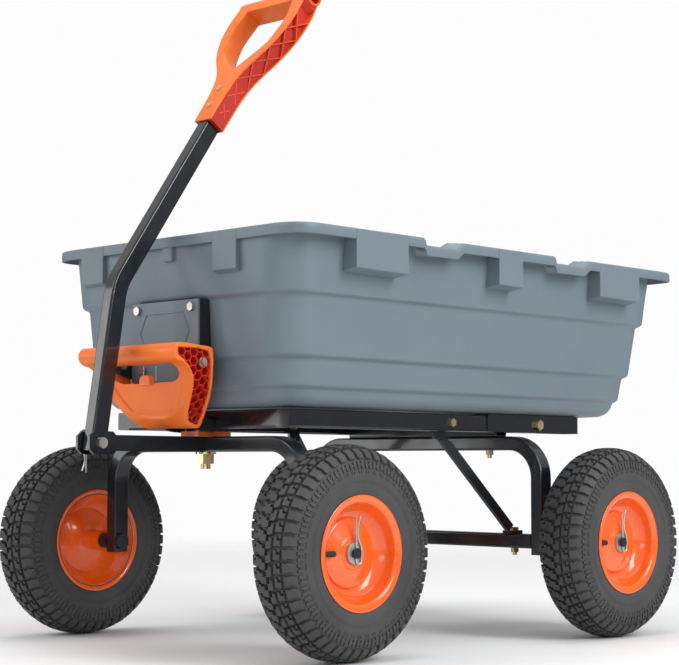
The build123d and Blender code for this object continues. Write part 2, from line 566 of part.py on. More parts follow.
latch = latch - block(-85.4, 85.4, f - 143, f - 40, 428, 500)
save("latch_handle", latch)

hook = yz_prism([(f - 68, 362), (f - 68, 380), (f - 52, 380), (f - 12, 368), (f - 12, 351), (f - 18, 350),
                 (f - 40, 351.5), (f - 59.7, 357), (f - 59.7, 362)], 34, 40)
hook = hook + mirror_x(hook) + block(-40, 40, f - 68, f - 62, 362, 380)
save("latch_hook", hook)
pivot_pin = rod((79, LATCH_Y, LATCH_Z), (116, LATCH_Y, LATCH_Z), 5.0)
pivot_pin = pivot_pin + rod((112.3, LATCH_Y, LATCH_Z), (116.3, LATCH_Y, LATCH_Z), 8.5)
save("latch_pin", pivot_pin + mirror_x(pivot_pin))
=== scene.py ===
"""Looks for the four-wheeled dump cart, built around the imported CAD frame. Lengths are in metres."""

import math

import bmesh
import bpy
from mathutils import Matrix, Vector


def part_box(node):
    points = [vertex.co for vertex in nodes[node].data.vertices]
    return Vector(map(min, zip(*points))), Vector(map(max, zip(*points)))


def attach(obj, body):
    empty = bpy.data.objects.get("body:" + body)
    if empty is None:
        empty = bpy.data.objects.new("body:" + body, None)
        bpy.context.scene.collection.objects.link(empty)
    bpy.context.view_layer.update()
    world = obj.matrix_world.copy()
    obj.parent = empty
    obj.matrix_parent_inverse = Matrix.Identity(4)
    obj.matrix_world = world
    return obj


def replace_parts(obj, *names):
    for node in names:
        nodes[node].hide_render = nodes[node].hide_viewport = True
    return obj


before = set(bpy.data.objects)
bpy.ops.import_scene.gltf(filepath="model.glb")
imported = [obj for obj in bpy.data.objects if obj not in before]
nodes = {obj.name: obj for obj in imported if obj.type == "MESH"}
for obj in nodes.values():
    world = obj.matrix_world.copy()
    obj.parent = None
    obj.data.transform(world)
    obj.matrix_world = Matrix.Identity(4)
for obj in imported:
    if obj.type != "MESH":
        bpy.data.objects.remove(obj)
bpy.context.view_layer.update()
MM = 0.001


def middle(node):
    low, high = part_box(node)
    return (low + high) / 2


FRONT = middle("tyre_fl").y
TUB_LOW, TUB_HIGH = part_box("tub")


# ---- mesh helpers --------------------------------------------------------
def make_object(name, verts, faces, smooth_angle=35.0):
    mesh = bpy.data.meshes.new(name)
    mesh.from_pydata([tuple(v) for v in verts], [], faces)
    bm = bmesh.new()
    bm.from_mesh(mesh)
    bmesh.ops.remove_doubles(bm, verts=bm.verts, dist=1e-6)
    bmesh.ops.recalc_face_normals(bm, faces=bm.faces)
    bm.to_mesh(mesh)
    bm.free()
    mesh.shade_smooth()
    if smooth_angle < 180:
        mesh.set_sharp_from_angle(angle=math.radians(smooth_angle))
    obj = bpy.data.objects.new(name, mesh)
    bpy.context.scene.collection.objects.link(obj)
    return obj


class Builder:
    """Collects vertices and faces for one piece."""

    def __init__(self):
        self.verts = []
        self.faces = []

    def add(self, verts, faces):
        base = len(self.verts)
        self.verts += [Vector(v) for v in verts]
        self.faces += [tuple(base + i for i in f) for f in faces]

    def rings(self, rows, close_rows=False, cap_ends=False):
        """Skin a list of closed rings that all have the same number of points."""
        n = len(rows[0])
        verts = [p for row in rows for p in row]
        faces = []
        last = len(rows) if close_rows else len(rows) - 1
        for i in range(last):
            a = i * n
            b = ((i + 1) % len(rows)) * n
            faces += [(a + j, a + (j + 1) % n, b + (j + 1) % n, b + j) for j in range(n)]
        if cap_ends:
            faces.append(tuple(range(n)))
            faces.append(tuple(range((len(rows) - 1) * n, len(rows) * n)))
        self.add(verts, faces)

    def bar(self, a, b, width_dir, width, depth):
        """Straight bar from a to b with a rectangular section."""
        a, b = Vector(a), Vector(b)
        across = Vector(width_dir).normalized()
        thick = (b - a).cross(across).normalized()
        across = across * width / 2
        thick = thick * depth / 2
        self.rings([[p - across - thick, p + across - thick, p + across + thick, p - across + thick]
                    for p in (a, b)], cap_ends=True)

    def finish(self, name, smooth_angle=35.0):
        return make_object(name, self.verts, self.faces, smooth_angle)


def lathe_rows(profile, segments, centre, side=1):
    """Rings about the X axis from (x, radius) points."""
    turn = 2 * math.pi / segments
    rows = []
    for k in range(segments):
        c, s = math.cos(k * turn), math.sin(k * turn)
        rows.append([Vector((centre.x + side * x, centre.y + r * s, centre.z + r * c)) for x, r in profile])
    return rows


def bevel(obj, width, segments=3, angle=35.0):
    mod = obj.modifiers.new("soft_edges", "BEVEL")
    mod.width = width
    mod.segments = segments
    mod.limit_method = "ANGLE"
    mod.angle_limit = math.radians(angle)
    mod.harden_normals = True
    return obj


def catmull_rom(a, b, c, d, t):
    return 0.5 * (2 * b + (c - a) * t + (2 * a - 5 * b + 4 * c - d) * t * t
                  + (3 * b - a - 3 * c + d) * t ** 3)


def smooth_path(points, steps):
    """Catmull-Rom points through a list of tuples."""
    out = []
    for i in range(len(points) - 1):
        p0 = points[max(i - 1, 0)]
        p1, p2 = points[i], points[i + 1]
        p3 = points[min(i + 2, len(points) - 1)]
        for k in range(steps):
            out.append(tuple(catmull_rom(*values, k / steps) for values in zip(p0, p1, p2, p3)))
    out.append(tuple(points[-1]))
    return out


def smooth_closed(points, steps):
    """The same through a closed outline."""
    wrapped = [points[-1]] + points + [points[0], points[1]]
    path = smooth_path(wrapped, steps)
    return path[steps:-steps - 1]


def even_points(points, count):
    """Points spaced evenly along a polyline."""
    lengths = [math.dist(a, b) for a, b in zip(points[:-1], points[1:])]
    total = sum(lengths)
    out, i, passed = [], 0, 0.0
    for k in range(count):
        want = total * k / (count - 1)
        while i < len(lengths) - 1 and passed + lengths[i] < want:
            passed += lengths[i]
            i += 1
        t = min(1.0, (want - passed) / lengths[i])
        out.append(tuple(a + (b - a) * t for a, b in zip(points[i], points[i + 1])))
    return out


def inside(point, polygon):
    """True when a 2-D point lies inside a polygon."""
    x, y = point
    hit = False
    for (x0, y0), (x1, y1) in zip(polygon, polygon[1:] + polygon[:1]):
        if (y0 > y) != (y1 > y) and x < (x1 - x0) * (y - y0) / (y1 - y0) + x0:
            hit = not hit
    return hit


def along(points, z):
    """x of an (x, z) outline at height z."""
    for (x0, z0), (x1, z1) in zip(points[:-1], points[1:]):
        if z1 <= z <= z0:
            return x0 + (x1 - x0) * (z0 - z) / max(z0 - z1, 1e-6)
    return points[0][0] if z > points[0][1] else points[-1][0]


def both_sides(points):
    """Half an (x, z) outline and its mirror image."""
    return points + [(-x, z) for x, z in reversed(points)]


def make_round_line(name, points, radius, sides=10, closed=False):
    """Round bead that follows a list of points."""
    build = Builder()
    rows = []
    n = len(points)
    turns = [2 * math.pi * k / sides for k in range(sides)]
    for i, p in enumerate(points):
        before = points[i - 1] if (i > 0 or closed) else p
        after = points[(i + 1) % n] if (i < n - 1 or closed) else p
        t = (after - before).normalized()
        across = t.cross(Vector((0, 1, 0)))
        if across.length < 1e-3:
            across = t.cross(Vector((1, 0, 0)))
        across.normalize()
        up = across.cross(t)
        rows.append([p + (across * math.cos(a) + up * math.sin(a)) * radius for a in turns])
    build.rings(rows, close_rows=closed, cap_ends=not closed)
    return build.finish(name, 180)


def prism(name, points, plane, low, high):
    """Closed prism from an outline in mm; plane is 'yz' extruded in x, or 'xz' extruded in y."""
    build = Builder()
    place = {"yz": lambda u, v, w: Vector((w, FRONT + u * MM, v * MM)),
             "xz": lambda u, v, w: Vector((u * MM, w, v * MM))}[plane]
    build.rings([[place(u, v, end) for u, v in points] for end in (low, high)], cap_ends=True)
    return build.finish(name, 180)


def apply_modifiers(obj):
    graph = bpy.context.evaluated_depsgraph_get()
    mesh = bpy.data.meshes.new_from_object(obj.evaluated_get(graph))
    obj.modifiers.clear()
    obj.data = mesh


def combine(target, tool, operation):
    """Boolean of two objects; the tool is used up."""
    mod = target.modifiers.new("cut", "BOOLEAN")
    mod.operation = operation
    mod.solver = "EXACT"
    mod.object = tool
    apply_modifiers(target)
    bpy.data.objects.remove(tool)


def ride_as(piece, body, slot, *keys):
    """Paint a piece and put it on a body; the slot argument is not used."""
    if keys:
        paint(piece, *keys)
    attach(piece, body)
    return piece


# ---- materials -----------------------------------------------------------
def surface(name, colour, roughness, metallic=0.0, coat=0.0, coat_rough=0.1, tint=0.12, grain=300.0,
            bump=0.05, bump_size=0.0004, rough_spread=0.08, specular=0.5, dust=None):
    """Principled surface: colour drift, uneven gloss and fine relief, all from noise in object space."""
    mat = bpy.data.materials.new(name)
    mat.use_nodes = True
    tree = mat.node_tree
    bsdf = tree.nodes["Principled BSDF"]
    bsdf.inputs["Metallic"].default_value = metallic
    bsdf.inputs["Coat Weight"].default_value = coat
    bsdf.inputs["Coat Roughness"].default_value = coat_rough
    bsdf.inputs["Specular IOR Level"].default_value = specular
    coords = tree.nodes.new("ShaderNodeTexCoord")

    def noise(scale, detail):
        node = tree.nodes.new("ShaderNodeTexNoise")
        node.inputs["Scale"].default_value = scale
        node.inputs["Detail"].default_value = detail
        tree.links.new(coords.outputs["Object"], node.inputs["Vector"])
        return node.outputs["Fac"]

    drift = tree.nodes.new("ShaderNodeValToRGB")
    drift.color_ramp.elements[0].position = 0.3
    drift.color_ramp.elements[1].position = 0.7
    drift.color_ramp.elements[0].color = (*[c * (1 - tint) for c in colour], 1)
    drift.color_ramp.elements[1].color = (*[min(1.0, c * (1 + tint)) for c in colour], 1)
    tree.links.new(noise(9.0, 4.0), drift.inputs["Fac"])
    colour_out = drift.outputs["Color"]
    if dust is not None:
        mix = tree.nodes.new("ShaderNodeMix")
        mix.data_type = "RGBA"
        spots = tree.nodes.new("ShaderNodeMapRange")
        spots.inputs["From Min"].default_value = 0.56
        spots.inputs["From Max"].default_value = 0.78
        spots.inputs["To Max"].default_value = 0.5
        tree.links.new(noise(70.0, 6.0), spots.inputs["Value"])
        tree.links.new(spots.outputs["Result"], mix.inputs["Factor"])
        tree.links.new(colour_out, mix.inputs["A"])
        mix.inputs["B"].default_value = (*dust, 1)
        colour_out = mix.outputs["Result"]
    tree.links.new(colour_out, bsdf.inputs["Base Color"])
    gloss = tree.nodes.new("ShaderNodeMapRange")
    gloss.inputs["From Min"].default_value = 0.3
    gloss.inputs["From Max"].default_value = 0.7
    gloss.inputs["To Min"].default_value = max(0.02, roughness - rough_spread)
    gloss.inputs["To Max"].default_value = min(1.0, roughness + rough_spread)
    tree.links.new(noise(35.0, 5.0), gloss.inputs["Value"])
    tree.links.new(gloss.outputs["Result"], bsdf.inputs["Roughness"])
    relief = tree.nodes.new("ShaderNodeBump")
    relief.inputs["Strength"].default_value = bump
    relief.inputs["Distance"].default_value = bump_size
    tree.links.new(noise(grain, 3.0), relief.inputs["Height"])
    tree.links.new(relief.outputs["Normal"], bsdf.inputs["Normal"])
    return mat


MATERIALS = {
    "steel": surface("powder_coat_black", (0.0075, 0.0090, 0.0125), 0.22, coat=0.5, coat_rough=0.08,
                     grain=900, bump=0.10, bump_size=0.0003, rough_spread=0.05),
    "tub": surface("moulded_slate_poly", (0.172, 0.222, 0.256), 0.42, tint=0.035, grain=1400, bump=0.18,
                   bump_size=0.0002, rough_spread=0.05, specular=0.42),
    "orange": surface("moulded_orange", (0.93, 0.185, 0.022), 0.38, tint=0.05, grain=1200, bump=0.12,
                      bump_size=0.0002, specular=0.45),
    # Darker orange: painted shade on the crossed ribs down in the grip's channels.
    "rib_orange_painted_shade": surface("orange_ribs_painted_shade", (0.80, 0.085, 0.018), 0.42, tint=0.08, grain=1200,
                          bump=0.1, bump_size=0.0002),
    # Dark red orange: painted shade for the recesses of the orange plastic, used on the grip's channel
    # walls, the bores of the grip bar, the latch's side pockets and their honeycomb.
    "painted_shade_red": surface("painted_shade_orange", (0.55, 0.018, 0.008), 0.45, tint=0.12, grain=1200, bump=0.1,
                        bump_size=0.0002),
    "rim": surface("gloss_orange_enamel", (0.90, 0.125, 0.006), 0.24, coat=0.8, coat_rough=0.06, tint=0.05,
                   grain=500, bump=0.08, bump_size=0.0004),
    "tyre": surface("tyre_rubber", (0.052, 0.052, 0.0535), 0.60, tint=0.22, grain=1500, bump=0.35,
                    bump_size=0.0003, rough_spread=0.1, specular=0.4, dust=(0.075, 0.074, 0.073)),
    "rubber": surface("black_rubber", (0.012, 0.012, 0.012), 0.55, grain=900),
    "yellow_zinc": surface("yellow_zinc", (0.78, 0.62, 0.36), 0.3, metallic=1.0, tint=0.25, grain=700,
                           rough_spread=0.12),
    "zinc": surface("bright_zinc", (0.56, 0.55, 0.51), 0.34, metallic=1.0, tint=0.12, grain=700,
                    rough_spread=0.12),
    "copper_zinc": surface("bronzed_zinc", (0.62, 0.36, 0.22), 0.33, metallic=1.0, tint=0.25, grain=700),
    "axle": surface("blackened_steel", (0.035, 0.036, 0.042), 0.34, metallic=0.7, tint=0.2, grain=600),
}


def paint(obj, *keys):
    obj.data.materials.clear()
    for key in keys:
        obj.data.materials.append(MATERIALS[key])
    return obj


def tag_faces(obj, index, test):
    """Give the faces that pass the test the material slot with this index."""
    for poly in obj.data.polygons:
        if test(poly):
            poly.material_index = index


NODE_PAINT = [
    ("tyre", "tyre"), ("rim", "rim"), ("hub", "rim"), ("valve", "rubber"), ("axle_washer", "zinc"),
    ("axle_hairpin", "zinc"), ("handle_hairpin", "zinc"), ("handle_pin", "zinc"),
    ("king_nut", "yellow_zinc"),
    ("king_bolt", "yellow_zinc"), ("frame_bolts", "yellow_zinc"), ("tub_bolts", "zinc"),
    ("grip_screws", "yellow_zinc"), ("latch_pin", "zinc"), ("tub_channel", "steel"), ("tub", "tub"),
    ("latch_cover", "tub"), ("latch_handle", "orange"), ("d_grip", "orange"), ("bearing_pad", "orange"),
    ("front_stub_axle", "axle"), ("rear_stub_axle", "axle"),
]
for node_name, node in nodes.items():
    key = next((k for prefix, k in NODE_PAINT if node_name.startswith(prefix)), "steel")
    paint(node, key)


# ---- tub -----------------------------------------------------------------
def d(value):
    """y of a point that lies value millimetres behind the front axle line."""
    return FRONT + value * MM


RIM_Z = TUB_HIGH.z
FLOOR_Z = TUB_LOW.z
FRONT_Y = TUB_LOW.y
REAR_Y = TUB_HIGH.y
LIP_X = TUB_HIGH.x
DIPS = ((208, 287), (557, 640))
DIP_DEPTH = 12 * MM
SQUARENESS = 3.2
SIDE_LUGS = ((40, 162), (393, 458), (684, 808))
END_LUGS = ((-225, -165), (112, 169))
SIDE_Y = sorted({d(v) for a, b in DIPS for v in (a - 7, a - 4, a, b - 24, b - 18, b - 4, b, b + 8, b + 16)}
                | {d(v) for v in range(0, 860, 36)})


def outline(half_x, y0, y1, radius, z):
    """Rounded rectangle whose long sides carry the same y stations at every level."""
    points = []
    turns = 12
    stations = [y0 + radius] + SIDE_Y + [y1 - radius]
    stations = [min(max(y, y0 + radius), y1 - radius) for y in stations]
    across = [-1 + 2 * k / 8 for k in range(1, 8)]
    points += [(half_x, y) for y in stations]
    points += [(half_x - radius + radius * math.cos(a), y1 - radius + radius * math.sin(a))
               for a in [math.pi / 2 * k / turns for k in range(1, turns + 1)]]
    points += [(-(half_x - radius) * t, y1) for t in across]
    points += [(-(half_x - radius) - radius * math.sin(a), y1 - radius + radius * math.cos(a))
               for a in [math.pi / 2 * k / turns for k in range(0, turns)]]
    points += [(-half_x, y) for y in reversed(stations)]
    points += [(-(half_x - radius) - radius * math.cos(a), y0 + radius - radius * math.sin(a))
               for a in [math.pi / 2 * k / turns for k in range(1, turns + 1)]]
    points += [((half_x - radius) * t, y0) for t in across]
    points += [((half_x - radius) + radius * math.sin(a), y0 + radius - radius * math.cos(a))
               for a in [math.pi / 2 * k / turns for k in range(0, turns)]]
    return [Vector((x, y, z)) for x, y in points]


# height, half width, front inset, rear inset, corner radius, in millimetres
TUB_LEVELS = [
    (650, 283.0, 8.0, 24.0, 62), (600, 278.3, 10.6, 29.3, 62), (570, 275.6, 12.3, 32.3, 62),
    (566.5, 274.6, 13.4, 33.2, 62), (564.5, 272.2, 15.6, 35.6, 61), (562, 267.2, 20.0, 40.6, 60),
    (560, 265.7, 21.2, 42.2, 60), (556, 265.1, 21.6, 42.8, 60), (510, 261.0, 24.6, 50.0, 60),
    (472, 258.0, 27.4, 56.6, 60), (468.6, 257.0, 28.4, 57.6, 60), (466.6, 254.6, 30.6, 60.2, 59),
    (464, 250.2, 34.6, 65.0, 58), (462, 248.8, 36.0, 66.8, 58), (458, 248.2, 36.6, 67.4, 58),
    (424, 246.2, 38.8, 75.6, 58), (421, 245.2, 39.8, 77.0, 58), (419, 242.8, 42.4, 80.0, 57),
    (416.6, 239.4, 45.8, 84.0, 56), (414.6, 238.2, 47.0, 85.4, 55), (407, 236.4, 49.0, 88.4, 54),
    (400, 233.4, 52.5, 93.0, 53), (394.5, 228.2, 58.6, 100.0, 51), (390.8, 221.0, 67.0, 109.0, 48),
]
WALL = 3.0


def tub_ring(level, inset, z=None):
    height, half_x, front, rear, radius = level
    z = height if z is None else z
    return outline((half_x - inset) * MM, FRONT_Y + (front + inset) * MM, REAR_Y - (rear + inset) * MM,
                   (radius - inset) * MM, z * MM)


def dip(y, share):
    """How far the lip drops at y; share is 0 at the inside edge and 1 at the outside edge."""
    worst = 0.0
    for start, end in DIPS:
        end = end - 24 * (1 - share)
        ramp_in = (y - d(start - 5)) / (5 * MM)
        ramp_out = (d(end + 14) - y) / (14 * MM)
        worst = max(worst, min(1.0, max(0.0, min(ramp_in, ramp_out))))
    return worst * DIP_DEPTH


def square_corner(p, half_x, y0, y1, radius):
    """Push a round corner's points out to a fuller, squarer curve."""
    cx = math.copysign(half_x - radius, p.x)
    cy = y0 + radius if p.y < y0 + radius else y1 - radius
    u, v = (p.x - cx) / radius, (p.y - cy) / radius
    past_end = p.y < y0 + radius or p.y > y1 - radius
    if past_end and u * math.copysign(1, p.x) > 0:
        size = (abs(u) ** SQUARENESS + abs(v) ** SQUARENESS) ** (1 / SQUARENESS)
        p.x, p.y = cx + u / size * radius, cy + v / size * radius


def make_tub():
    build = Builder()
    body = tub_ring(TUB_LEVELS[0], 0)
    lip_x, lip_round = LIP_X - 1.2 * MM, 62 * MM
    lip_front, lip_rear = FRONT_Y + 1.0 * MM, REAR_Y - 1.0 * MM
    lip = outline(lip_x, lip_front, lip_rear, lip_round, 0)
    for p in lip:
        square_corner(p, lip_x, lip_front, lip_rear, lip_round)
    # share of the way from wall to lip edge, and depth below the rim in millimetres
    section = [(0.00, 22.0), (0.00, 9.5), (0.10, 6.0), (0.86, 5.2), (0.90, 7.0), (0.905, 17.3),
               (0.93, 17.6),
               (0.985, 17.5), (1.0, 16.4), (1.0, 6.0), (0.985, 2.6), (0.93, 0.9), (0.84, 0.25), (0.5, 0.0),
               (0.16, 0.1), (0.02, 0.8), (-0.09, 2.6), (-0.14, 6.0)]
    floor_ring = [Vector((p.x * 0.9, p.y * 0.93 + 0.004, FLOOR_Z)) for p in tub_ring(TUB_LEVELS[-1], 0)]
    rows = [[Vector((p.x * 0.02, p.y * 0.02, FLOOR_Z)) for p in floor_ring], floor_ring]
    rows += [tub_ring(level, 0) for level in reversed(TUB_LEVELS[1:])]
    for share, drop in section:
        row = []
        for a, b in zip(body, lip):
            p = a.lerp(b, share)
            on_side = abs(p.x) > 0.24
            fall = dip(p.y, max(0.0, share)) if on_side else 0.0
            if share <= 0.0 and drop > 8:
                fall = fall * 0.6
            row.append(Vector((p.x, p.y, RIM_Z - drop * MM - fall)))
        rows.append(row)
    rows += [tub_ring(level, WALL, max(level[0], FLOOR_Z / MM + 3.2)) for level in TUB_LEVELS[1:]]
    inner_floor = [Vector((p.x * 0.9, p.y * 0.93 + 0.004, FLOOR_Z + 3 * MM))
                   for p in tub_ring(TUB_LEVELS[-1], 3)]
    rows += [inner_floor, [Vector((p.x * 0.02, p.y * 0.02, FLOOR_Z + 3 * MM)) for p in inner_floor]]
    build.rings(rows, cap_ends=True)
    return build.finish("tub_shell", 180)


def make_lugs():
    """Hollow box lugs that hang from the lip."""
    build = Builder()
    top = RIM_Z - 1.5 * MM
    low = RIM_Z - 64.5 * MM
    rise = lambda z: max(0.0, (z - low) / (top - low))
    for a, b in SIDE_LUGS:
        for side in (1, -1):
            outer = side * LIP_X
            face = [(d(a), low + 2 * MM), (d(b), low), (d(b), top), (d(a), top)]
            back = [(d(a) + 1 * MM, low - 3 * MM), (d(b) - 1 * MM, low - 5 * MM), (d(b) - 1 * MM, top),
                    (d(a) + 1 * MM, top)]
            rows = [[Vector((side * (277.2 + 4.6 * rise(z)) * MM, y, z)) for y, z in back],
                    [Vector((outer, y, z)) for y, z in face]]
            build.rings(rows, cap_ends=True)
    for a, b in END_LUGS:
        for edge, wall, slant in ((FRONT_Y, FRONT_Y + 12.2 * MM, -2.4), (REAR_Y, REAR_Y - 31 * MM, 5.4)):
            x0, x1 = a * MM, b * MM
            face = [(x0, low + 1 * MM), (x1, low + 1 * MM), (x1, top), (x0, top)]
            back = [(x0 + 1 * MM, low - 4 * MM), (x1 - 1 * MM, low - 4 * MM), (x1 - 1 * MM, top),
                    (x0 + 1 * MM, top)]
            rows = [[Vector((x, wall + slant * rise(z) * MM, z)) for x, z in back],
                    [Vector((x, edge, z)) for x, z in face]]
            build.rings(rows, cap_ends=True)
    mid = 12 * MM
    tab = [(-mid, RIM_Z - 40 * MM), (mid, RIM_Z - 40 * MM), (mid, RIM_Z - 6 * MM), (-mid, RIM_Z - 6 * MM)]
    build.rings([[Vector((x, FRONT_Y + 2.4 * MM, z)) for x, z in tab],
                 [Vector((x, FRONT_Y + 9.5 * MM, z)) for x, z in tab]], cap_ends=True)
    return bevel(build.finish("tub_lugs", 180), 1.6 * MM, 3)


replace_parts(ride_as(make_tub(), "tub", "tub_poly", "tub"), "tub")
ride_as(make_lugs(), "tub", "tub_poly", "tub")


# ---- wheels --------------------------------------------------------------
PITCHES = 50
SIDEWALL = smooth_path([(0, 158.6), (13, 158.0), (25, 155.0), (34, 149.5), (40, 141.5), (43.2, 131),
                        (44.4, 120),
                        (44.2, 108), (42.8, 98), (40.6, 91.2), (39.4, 88.8)], 3)


def carcass_point(s):
    """(x, radius) and outward normal at arc length s, in millimetres, from the middle of the tread."""
    sign = 1 if s >= 0 else -1
    left = abs(s)
    for (x0, r0), (x1, r1) in zip(SIDEWALL[:-1], SIDEWALL[1:]):
        step = math.hypot(x1 - x0, r1 - r0)
        if left <= step:
            t = left / step
            tangent = ((x1 - x0) / step, (r1 - r0) / step)
            return (sign * (x0 + (x1 - x0) * t), r0 + (r1 - r0) * t), (sign * -tangent[1], tangent[0])
        left -= step
    return (sign * SIDEWALL[-1][0], SIDEWALL[-1][1]), (sign, 0.0)


def tread_point(centre, s, angle, height):
    (x, r), (nx, nr) = carcass_point(s)
    x, r = x + nx * height, r + nr * height
    return Vector((centre.x + x * MM, centre.y + r * MM * math.sin(angle),
                   centre.z + r * MM * math.cos(angle)))


def tread_block(build, centre, stations, height, draft=0.9):
    """One rubber block: stations are (s, first angle, last angle) across the tread."""
    n = len(stations)
    low_row, top_row = [], []
    for i, (s, a0, a1) in enumerate(stations):
        nudge = draft * (1 if i == 0 else -1 if i == n - 1 else 0)
        inset = 0.9 / 160 * draft
        low_row.append((tread_point(centre, s, a0, -1.0), tread_point(centre, s, a1, -1.0)))
        top_row.append((tread_point(centre, s + nudge, a0 + inset, height),
                        tread_point(centre, s + nudge, a1 - inset, height)))
    verts = [p for pair in low_row for p in pair] + [p for pair in top_row for p in pair]
    k = 2 * n
    faces = [(k + 2 * i, k + 2 * i + 1, k + 2 * i + 3, k + 2 * i + 2) for i in range(n - 1)]
    faces += [(2 * i, 2 * i + 2, k + 2 * i + 2, k + 2 * i) for i in range(n - 1)]
    faces += [(2 * i + 1, k + 2 * i + 1, k + 2 * i + 3, 2 * i + 3) for i in range(n - 1)]
    faces += [(0, k, k + 1, 1), (2 * n - 2, 2 * n - 1, k + 2 * n - 1, k + 2 * n - 2)]
    build.add(verts, faces)


def make_tyre(name, centre):
    build = Builder()
    half = SIDEWALL + [(38.6, 86.5), (38.0, 80.0), (36.5, 78.3), (20, 78.3)]
    profile = half + [(-x, r) for x, r in reversed(half[1:])]
    build.rings(lathe_rows([(x * MM, r * MM) for x, r in profile], 120, centre), close_rows=True)
    # two fine mould rings on each sidewall
    for side in (1, -1):
        for ring_s in (78.0, 81.5):
            first, last = [carcass_point(side * (ring_s + k))[0] for k in (-0.7, 0.7)]
            (x, r), (nx, nr) = carcass_point(side * ring_s)
            ridge = [first, (x + nx * 0.6, r + nr * 0.6), last]
            build.rings(lathe_rows([(a * MM, b * MM) for a, b in ridge], 120, centre), close_rows=True)
    pitch = 2 * math.pi / PITCHES
    for k in range(PITCHES):
        a = k * pitch
        for side in (1, -1):
            start = a + (0.0 if side > 0 else pitch / 2)

            def block(points, height, draft=0.9):
                stations = [(side * s, start + p * pitch, start + q * pitch) for s, p, q in points]
                tread_block(build, centre, stations, height, draft)

            block([(0.9, 0.02, 0.60), (6.0, 0.02, 0.60), (6.6, 0.02, 0.86), (11.8, 0.10, 0.86)], 6.2)
            block([(14.0, 0.24, 0.98), (19.0, 0.24, 0.98), (19.6, 0.24, 0.70), (25.2, 0.24, 0.70)], 5.6)
            block([(27.4, 0.30, 1.10), (32.0, 0.26, 1.02), (36.6, 0.34, 1.10), (41.2, 0.28, 1.04),
                   (46.5, 0.36, 0.98)], 4.6)
            block([(20.8, 0.80, 1.12), (25.6, 0.80, 1.12)], 5.2)
            block([(49.0, 0.14, 0.44), (54.0, 0.14, 0.44), (60.5, 0.14, 0.44)], 2.0, 0.6)
            block([(49.0, 0.62, 0.92), (54.0, 0.62, 0.92), (60.5, 0.62, 0.92)], 2.0, 0.6)
            block([(52.6, 0.42, 0.64), (56.4, 0.42, 0.64)], 1.7, 0.5)
            block([(63.0, 0.24, 0.50), (67.5, 0.26, 0.48)], 1.1, 0.5)
            block([(63.0, 0.58, 0.82), (67.5, 0.58, 0.80)], 1.1, 0.5)
    return build.finish(name, 30)


RIM_FACE = [(37.4, 78.2), (38.4, 84), (39.4, 88.0), (40.8, 88.4), (41.3, 87.2), (41.0, 84.0),
            (40.0, 79.6), (37.6, 76.4), (33.0, 74.9), (26, 73.2), (19.0, 69.6), (13.2, 64.4),
            (10.0, 59.5), (9.0, 56.4), (9.3, 54.6), (11.6, 53.4), (13.2, 51.5), (14.6, 46), (16.6, 39),
            (18.6, 32), (19.9, 27), (20.9, 24.6), (22.0, 23.6), (22.1, 17)]
RIM_BACK = [(18.8, 17), (17.0, 27), (12.6, 45), (8.6, 52), (6.4, 55), (6.6, 60), (10.4, 67.5),
            (14, 70.8), (18, 75), (21, 77.6)]


def make_rim(name, centre, side):
    build = Builder()
    front = smooth_path(RIM_FACE[:4], 2)[:-1] + smooth_path(RIM_FACE[3:], 4)
    profile = front + RIM_BACK
    build.rings(lathe_rows([(x * MM, r * MM) for x, r in profile], 120, centre, side), close_rows=True)
    well = [(-37.4, 78.2), (-38.4, 84), (-39.4, 88.2), (-40.8, 88.4), (-41.2, 87), (-40.0, 83.4),
            (-36, 79), (-30, 75), (-22, 70), (-14, 63), (-9.5, 56), (-12, 50), (-20, 27), (-21, 17),
            (-18.8, 17), (-17.8, 27), (-9.5, 51), (-7, 56.5), (-11, 64), (-14, 70.6), (0, 70.6),
            (14, 70.9), (0, 73), (-14, 73), (-21, 77.6)]
    build.rings(lathe_rows([(x * MM, r * MM) for x, r in well], 120, centre, side), close_rows=True)
    return build.finish(name, 50)


for key in ("fl", "fr", "rl", "rr"):
    centre = middle("tyre_" + key)
    side = 1 if centre.x > 0 else -1
    tyre = ride_as(make_tyre("tyre_tread_" + key, centre), "wheel_" + key, "tyre_rubber", "tyre")
    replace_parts(tyre, "tyre_" + key)
    rim = ride_as(make_rim("rim_dish_" + key, centre, side), "wheel_" + key, "rim_orange", "rim")
    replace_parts(rim, "rim_" + key)


# ---- D-grip --------------------------------------------------------------
GRIP_LEAN = math.radians(34.5)
GRIP_UP = Vector((0, math.sin(GRIP_LEAN), math.cos(GRIP_LEAN)))
GRIP_OUT = Vector((0, -math.cos(GRIP_LEAN), math.sin(GRIP_LEAN)))
SCREW_MID = middle("grip_screws") - GRIP_UP * 54.5 * MM
GRIP_FOOT = Vector((0, SCREW_MID.y, SCREW_MID.z))
GRIP_BAR = 289.0
CHANNEL_HALF = 15.2
GRIP_SIDE = [(20, 0), (20.5, 30), (22, 62), (28, 94), (42, 122), (62, 150), (77, 180), (85.5, 210),
             (88, 238), (86.5, 262), (82, 284)]
GRIP_HOLE = [(0, 118), (5, 119.5), (11, 125), (48, 162), (55, 171), (59, 182), (64.5, 212), (65.5, 222),
             (65, 232), (58, 266), (57, 271)]
GRIP_HOLE_WIDE = [(-5, 116.5)] + [(x + 1.2, s) for x, s in GRIP_HOLE] + [(-5, 280)]


def grip_at(x, s, n):
    return GRIP_FOOT + Vector((x, 0, 0)) * MM + GRIP_UP * s * MM + GRIP_OUT * n * MM


def in_hand_hole(point):
    """True on the walls of the hand hole, false in the open channels of the grip."""
    local = point - GRIP_FOOT
    return inside((abs(local.x) / MM, local.dot(GRIP_UP) / MM), GRIP_HOLE_WIDE)


